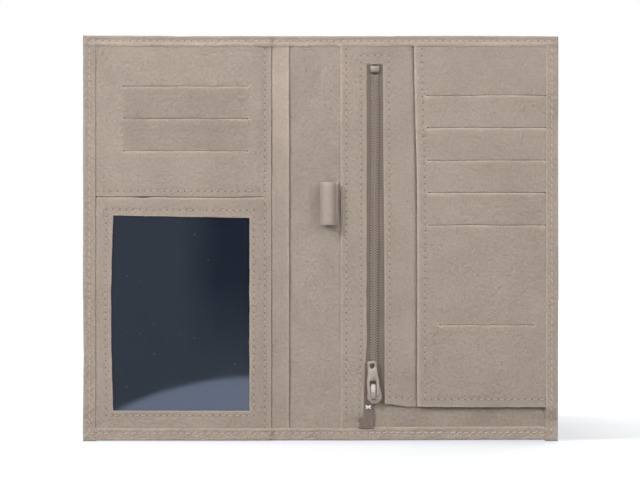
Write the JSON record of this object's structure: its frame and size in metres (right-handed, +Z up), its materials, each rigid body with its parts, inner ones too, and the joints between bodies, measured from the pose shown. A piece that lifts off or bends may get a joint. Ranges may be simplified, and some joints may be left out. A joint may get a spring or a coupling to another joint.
{
  "type": "long wallet",
  "caption": "Long leather travel wallet, open flat: card slits, clear document window, pen loop and zip pocket. Both halves fold on the spine.",
  "frame": {"origin": "middle of the spine's bottom edge, in the plane of both fold lines, which is the front face of the spine lining", "axes": "+Z up along the spine, +X towards the zip half, +Y towards the back of the cover, so the inside faces -Y"},
  "size_m": [0.252, 0.0111, 0.215],
  "materials": {
    "cover_leather": "matte fine-grained nappa, pale taupe",
    "lining_leather": "matte fine-grained lining leather, pale taupe",
    "panel_leather": "matte fine-grained nappa with raw cut edges, pale taupe",
    "stiffening_board": "plain grey-brown board",
    "pocket_fabric": "thin woven lining cloth",
    "dark_lining_fabric": "smooth navy lining cloth",
    "clear_film": "glossy clear vinyl film",
    "zip_tape": "herringbone woven polyester tape, dark taupe",
    "zip_coil": "satin nylon coil, taupe",
    "zip_metal": "pale satin nickel"
  },
  "bodies": {
    "spine": {"cover_spine": "cover_leather", "lining_spine": "lining_leather", "pen_loop": "panel_leather"},
    "left_half": {"cover_left": "cover_leather", "board_left": "stiffening_board", "lining_left": "lining_leather", "slip_panel": "panel_leather", "window_backing": "dark_lining_fabric", "window_film": "clear_film", "window_card_panel": "panel_leather", "left_card_liner_1": "pocket_fabric", "left_card_liner_2": "pocket_fabric", "left_card_liner_3": "pocket_fabric"},
    "right_half": {"cover_right": "cover_leather", "board_right": "stiffening_board", "lining_right": "lining_leather", "rear_pocket_panel": "panel_leather", "zip_panel": "panel_leather", "card_panel": "panel_leather", "right_card_liner_1": "pocket_fabric", "right_card_liner_2": "pocket_fabric", "right_card_liner_3": "pocket_fabric", "right_card_liner_4": "pocket_fabric", "right_card_liner_5": "pocket_fabric", "id_card_liner": "pocket_fabric", "zip_bag": "pocket_fabric", "zip_tape_left": "zip_tape", "zip_tape_right": "zip_tape", "zip_coil_left": "zip_coil", "zip_coil_right": "zip_coil", "zip_bottom_stop": "zip_metal", "zip_top_stops": "zip_metal"},
    "zip_slider": {"slider_body": "zip_metal"},
    "zip_pull": {"pull_tab": "zip_metal"}
  },
  "joints": [
    {"name": "left_fold", "type": "hinge", "parent": "spine", "child": "left_half", "pos_m": [-0.01055, 0, 0], "axis": [0, 0, 1], "range_deg": [-8, 90]},
    {"name": "right_fold", "type": "hinge", "parent": "spine", "child": "right_half", "pos_m": [0.01055, 0, 0], "axis": [0, 0, -1], "range_deg": [-8, 90]},
    {"name": "zip_travel", "type": "slide", "parent": "right_half", "child": "zip_slider", "axis": [0, 0, 1], "range_m": [0, 0.163]},
    {"name": "pull_swing", "type": "hinge", "parent": "zip_slider", "child": "zip_pull", "pos_m": [0.0288, -0.00468, 0.0243], "axis": [1, 0, 0], "range_deg": [0, 165]}
  ]
}
